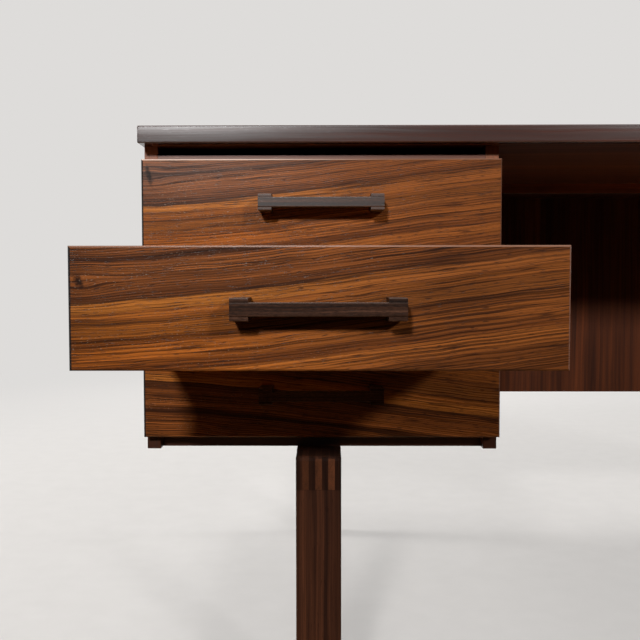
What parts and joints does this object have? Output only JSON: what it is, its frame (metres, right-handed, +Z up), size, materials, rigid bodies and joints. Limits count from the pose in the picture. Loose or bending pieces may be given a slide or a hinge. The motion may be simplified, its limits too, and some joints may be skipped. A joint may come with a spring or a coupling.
{
  "type": "freestanding desk",
  "caption": "Freestanding rosewood writing desk: drawer pedestals either side of a knee-hole, an open bookcase at the back, and finger-jointed trestle legs.",
  "frame": {"origin": "on the floor at the middle of the box that holds the desk as modelled, with its left middle drawer drawn out", "axes": "+Z up, +X to the right as seen from the drawers, +Y from the drawers to the bookcase"},
  "size_m": [1.65, 1.129, 0.728],
  "materials": {
    "front_veneer": "satin lacquered rosewood veneer, orange brown with dark streaks",
    "desktop_veneer": "satin lacquered rosewood veneer",
    "dark_lipping": "dark solid wood lipping, satin lacquer",
    "case_veneer": "satin lacquered rosewood veneer, darker than the fronts",
    "trestle_rosewood": "solid rosewood, satin lacquer, end grain in the finger joints",
    "handle_wenge": "dark solid wood with fine straight grain, satin",
    "drawer_oak": "pale solid oak, satin lacquer",
    "drawer_ply": "thin plywood, satin lacquer",
    "runner_beech": "waxed beech",
    "screw_steel": "zinc-plated steel",
    "glide_nylon": "moulded nylon, matt"
  },
  "bodies": {
    "desk_frame": {"desktop_panel": "desktop_veneer", "desktop_lippings": "dark_lipping", "left_outer_side": "case_veneer", "left_inner_side": "case_veneer", "right_inner_side": "case_veneer", "right_outer_side": "case_veneer", "left_pedestal_top": "case_veneer", "right_pedestal_top": "case_veneer", "left_pedestal_bottom": "case_veneer", "right_pedestal_bottom": "case_veneer", "partition_panel": "case_veneer", "kneehole_stretcher": "case_veneer", "bookcase_bottom": "case_veneer", "bookcase_dividers": "case_veneer", "left_drawer_runners": "runner_beech", "right_drawer_runners": "runner_beech", "left_front_leg": "trestle_rosewood", "left_rear_leg": "trestle_rosewood", "left_trestle_rail": "trestle_rosewood", "right_front_leg": "trestle_rosewood", "right_rear_leg": "trestle_rosewood", "right_trestle_rail": "trestle_rosewood", "trestle_screws": "screw_steel", "floor_glides": "glide_nylon"},
    "left_top_drawer": {"left_top_drawer_front": "front_veneer", "left_top_drawer_left_side": "drawer_oak", "left_top_drawer_right_side": "drawer_oak", "left_top_drawer_back": "drawer_oak", "left_top_drawer_bottom": "drawer_ply", "left_top_drawer_handle": "handle_wenge"},
    "left_middle_drawer": {"left_middle_drawer_front": "front_veneer", "left_middle_drawer_left_side": "drawer_oak", "left_middle_drawer_right_side": "drawer_oak", "left_middle_drawer_back": "drawer_oak", "left_middle_drawer_bottom": "drawer_ply", "left_middle_drawer_handle": "handle_wenge"},
    "left_bottom_drawer": {"left_bottom_drawer_front": "front_veneer", "left_bottom_drawer_left_side": "drawer_oak", "left_bottom_drawer_right_side": "drawer_oak", "left_bottom_drawer_back": "drawer_oak", "left_bottom_drawer_bottom": "drawer_ply", "left_bottom_drawer_handle": "handle_wenge"},
    "right_top_drawer": {"right_top_drawer_front": "front_veneer", "right_top_drawer_left_side": "drawer_oak", "right_top_drawer_right_side": "drawer_oak", "right_top_drawer_back": "drawer_oak", "right_top_drawer_bottom": "drawer_ply", "right_top_drawer_handle": "handle_wenge"},
    "right_middle_drawer": {"right_middle_drawer_front": "front_veneer", "right_middle_drawer_left_side": "drawer_oak", "right_middle_drawer_right_side": "drawer_oak", "right_middle_drawer_back": "drawer_oak", "right_middle_drawer_bottom": "drawer_ply", "right_middle_drawer_handle": "handle_wenge"},
    "right_bottom_drawer": {"right_bottom_drawer_front": "front_veneer", "right_bottom_drawer_left_side": "drawer_oak", "right_bottom_drawer_right_side": "drawer_oak", "right_bottom_drawer_back": "drawer_oak", "right_bottom_drawer_bottom": "drawer_ply", "right_bottom_drawer_handle": "handle_wenge"}
  },
  "joints": [
    {"name": "left_top_drawer_slide", "type": "slide", "parent": "desk_frame", "child": "left_top_drawer", "axis": [0, -1, 0], "range_m": [0, 0.38]},
    {"name": "left_middle_drawer_slide", "type": "slide", "parent": "desk_frame", "child": "left_middle_drawer", "axis": [0, -1, 0], "range_m": [-0.308, 0.072]},
    {"name": "left_bottom_drawer_slide", "type": "slide", "parent": "desk_frame", "child": "left_bottom_drawer", "axis": [0, -1, 0], "range_m": [0, 0.38]},
    {"name": "right_top_drawer_slide", "type": "slide", "parent": "desk_frame", "child": "right_top_drawer", "axis": [0, -1, 0], "range_m": [0, 0.38]},
    {"name": "right_middle_drawer_slide", "type": "slide", "parent": "desk_frame", "child": "right_middle_drawer", "axis": [0, -1, 0], "range_m": [0, 0.38]},
    {"name": "right_bottom_drawer_slide", "type": "slide", "parent": "desk_frame", "child": "right_bottom_drawer", "axis": [0, -1, 0], "range_m": [0, 0.38]}
  ]
}
